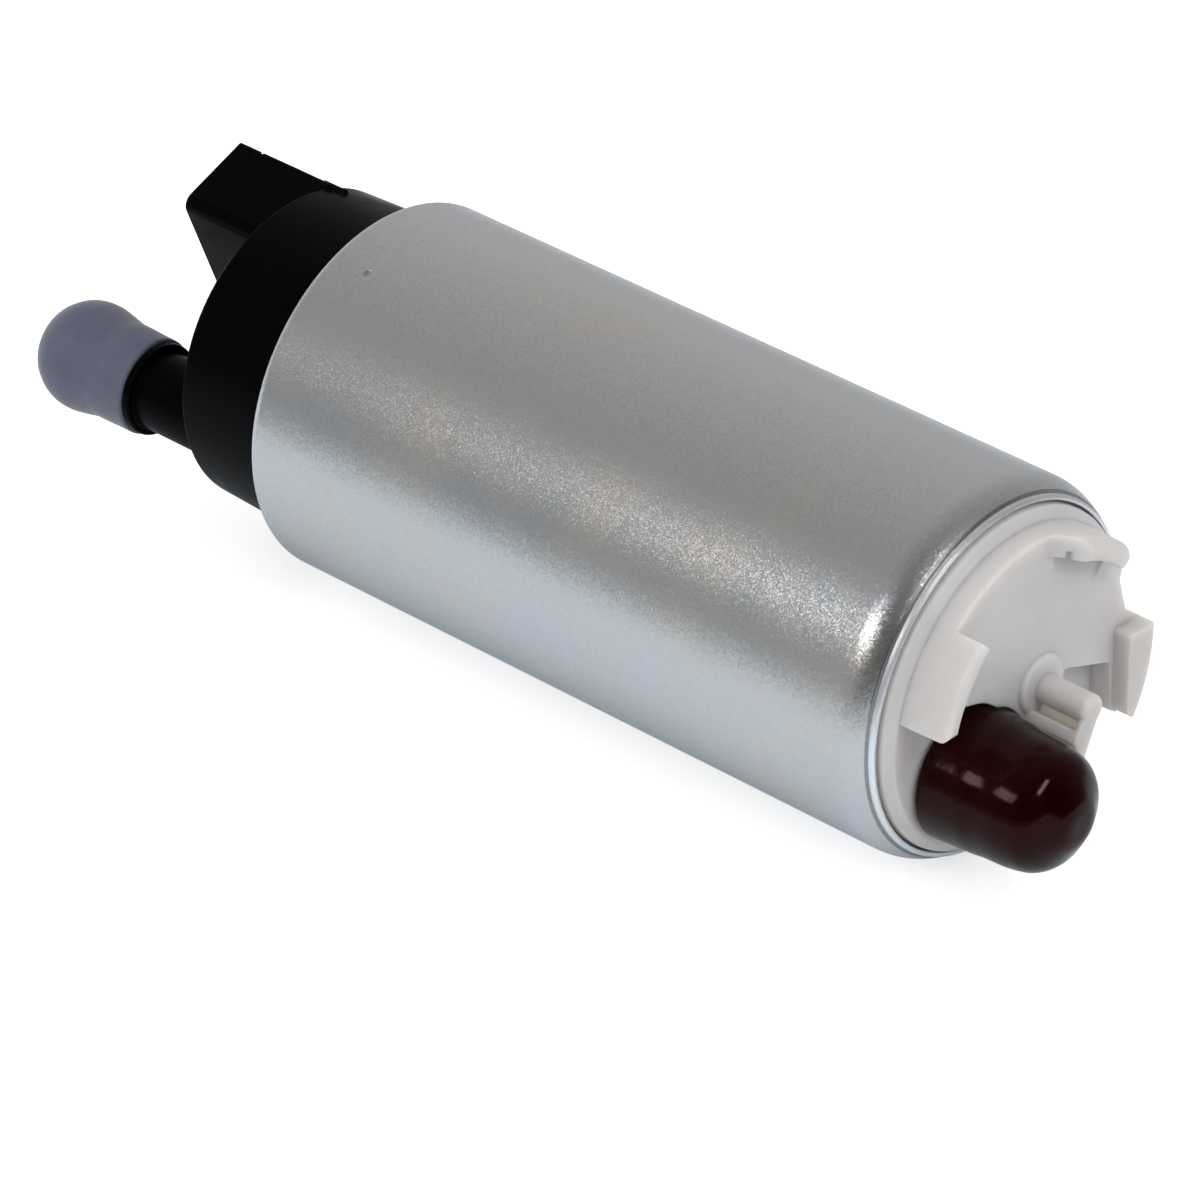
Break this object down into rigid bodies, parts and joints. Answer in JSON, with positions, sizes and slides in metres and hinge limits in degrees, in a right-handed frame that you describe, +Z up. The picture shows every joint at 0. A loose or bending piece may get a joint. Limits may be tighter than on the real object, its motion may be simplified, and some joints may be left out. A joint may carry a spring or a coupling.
{
  "type": "in-tank fuel pump",
  "caption": "Cylindrical in-tank electric fuel pump with a steel shell, moulded ends, a barbed outlet, an offset inlet tube and soft transit caps.",
  "frame": {"origin": "on the pump axis at the middle of the shell's length, to 0.6 mm", "axes": "+X along the pump axis towards the inlet end, +Z up as the pump lies, +Y away from the viewer"},
  "size_m": [0.1313, 0.039, 0.039],
  "materials": {
    "shell_steel": "satin zinc coat",
    "black_plastic": "semi-gloss moulded",
    "white_plastic": "satin moulded, off-white",
    "maroon_vinyl": "glossy dip-moulded",
    "blue_grey_vinyl": "matt soft moulded",
    "brown_plastic": "satin",
    "brass": "bright",
    "tin": "bright tin plate",
    "copper": "bare copper",
    "enamelled_wire": "enamelled",
    "carbon": "matt",
    "ferrite": "matt grey",
    "steel": "ground",
    "sintered_steel": "ground faces",
    "plate_aluminium": "machined",
    "bronze": "sintered",
    "seal_rubber": "matt",
    "green_insulation": "satin",
    "lead_wire": "insulated wire"
  },
  "bodies": {
    "housing": {"shell": "shell_steel", "outlet_housing": "black_plastic", "inlet_housing": "white_plastic", "blade_a": "tin", "blade_b": "tin", "jumper_a": "lead_wire", "jumper_b": "lead_wire", "housing_seal": "seal_rubber", "plate_seal": "seal_rubber", "check_seat": "brass", "check_spring": "steel", "relief_plug": "brass", "relief_spring": "steel", "brush_holder": "brown_plastic", "brush_tube_a": "brass", "brush_tube_b": "brass", "brush_spring_a": "steel", "brush_spring_b": "steel", "outlet_bush": "bronze", "pump_bush": "bronze", "flux_ring": "steel", "magnet_a": "ferrite", "magnet_b": "ferrite", "magnet_clips": "steel", "cam_ring": "plate_aluminium", "port_plate": "plate_aluminium", "inlet_plate": "plate_aluminium", "dowels": "steel"},
    "armature": {"shaft": "steel", "lamination_stack": "steel", "slot_insulator_a": "green_insulation", "slot_insulator_b": "green_insulation", "winding": "enamelled_wire", "commutator_core": "brown_plastic", "commutator": "copper", "washer_a": "tin", "washer_b": "tin", "inner_rotor": "sintered_steel"},
    "outer_rotor": {"outer_rotor": "sintered_steel"},
    "brush_a": {"brush_a": "carbon"},
    "brush_b": {"brush_b": "carbon"},
    "check_poppet": {"check_poppet": "brown_plastic"},
    "relief_ball": {"relief_ball": "steel"},
    "inlet_cap": {"inlet_cap": "maroon_vinyl"},
    "outlet_cap": {"outlet_cap": "blue_grey_vinyl"}
  },
  "joints": [
    {"name": "armature_spin", "type": "hinge", "parent": "housing", "child": "armature", "pos_m": [0, 0, 0], "axis": [1, 0, 0], "continuous": true},
    {"name": "outer_rotor_spin", "type": "hinge", "parent": "housing", "child": "outer_rotor", "pos_m": [0.0312, 0, 0.00115], "axis": [1, 0, 0], "continuous": true},
    {"name": "brush_a_slide", "type": "slide", "parent": "housing", "child": "brush_a", "axis": [0, 1, 0], "range_m": [0, 0.0015], "stiffness_N_per_m": 400, "springref_m": -0.003, "deforming": ["brush_spring_a"]},
    {"name": "brush_b_slide", "type": "slide", "parent": "housing", "child": "brush_b", "axis": [0, -1, 0], "range_m": [0, 0.0015], "stiffness_N_per_m": 400, "springref_m": -0.003, "deforming": ["brush_spring_b"]},
    {"name": "check_poppet_slide", "type": "slide", "parent": "housing", "child": "check_poppet", "axis": [-1, 0, 0], "range_m": [0, 0.0018], "stiffness_N_per_m": 60, "springref_m": -0.004, "deforming": ["check_spring"]},
    {"name": "relief_ball_slide", "type": "slide", "parent": "housing", "child": "relief_ball", "axis": [-1, 0, 0], "range_m": [0, 0.0008], "stiffness_N_per_m": 2000, "springref_m": -0.0016, "deforming": ["relief_spring"]},
    {"name": "inlet_cap_pull", "type": "slide", "parent": "housing", "child": "inlet_cap", "axis": [1, 0, 0], "range_m": [0, 0.018]},
    {"name": "outlet_cap_pull", "type": "slide", "parent": "housing", "child": "outlet_cap", "axis": [-1, 0, 0], "range_m": [0, 0.016]}
  ],
  "couplings": [
    {"joint": "outer_rotor_spin", "follows": "armature_spin", "ratio": 0.85714}
  ]
}
